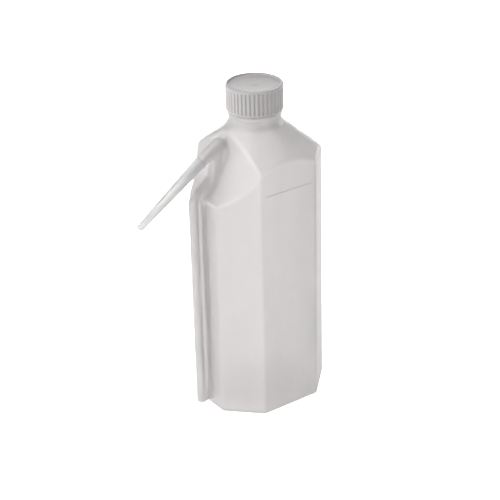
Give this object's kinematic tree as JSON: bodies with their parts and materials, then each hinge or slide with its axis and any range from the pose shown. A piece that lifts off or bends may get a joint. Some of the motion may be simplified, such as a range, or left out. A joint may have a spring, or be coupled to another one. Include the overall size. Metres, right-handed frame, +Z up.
{
  "type": "wash bottle",
  "caption": "Squeeze wash bottle moulded in one piece: chamfered rectangular body, conical shoulder, riser tube down one side, downward spout with push-on jet, ribbed screw cap.",
  "frame": {"origin": "centre of the standing base, on the axis of the neck and screw cap", "axes": "+Z up along the neck axis; the riser tube and spout are towards -X; the broad face with the fill line looks along -Y"},
  "size_m": [0.116, 0.0613, 0.1926],
  "materials": {
    "bottle_ldpe": "natural milky LDPE, translucent, satin moulded",
    "jet_ldpe": "natural LDPE, thin and clearer than the body, smooth",
    "cap_pp": "opaque white polypropylene, satin",
    "liner_foam": "white foamed polyethylene, matt"
  },
  "bodies": {
    "bottle": {"bottle_body": "bottle_ldpe"},
    "liner": {"cap_liner": "liner_foam"},
    "cap": {"screw_cap": "cap_pp"},
    "jet": {"jet_nozzle": "jet_ldpe"}
  },
  "joints": [
    {"name": "cap_rise", "type": "slide", "parent": "bottle", "child": "liner", "axis": [0, 0, 1], "range_m": [0, 0.01681]},
    {"name": "cap_turn", "type": "hinge", "parent": "liner", "child": "cap", "pos_m": [0, 0, 0.185], "axis": [0, 0, 1], "range_deg": [0, 1440]},
    {"name": "jet_pull", "type": "slide", "parent": "bottle", "child": "jet", "axis": [-0.8277, 0, -0.5612], "range_m": [0, 0.02]}
  ],
  "couplings": [
    {"joint": "cap_rise", "follows": "cap_turn", "m_per_rad": 0.00066845}
  ]
}
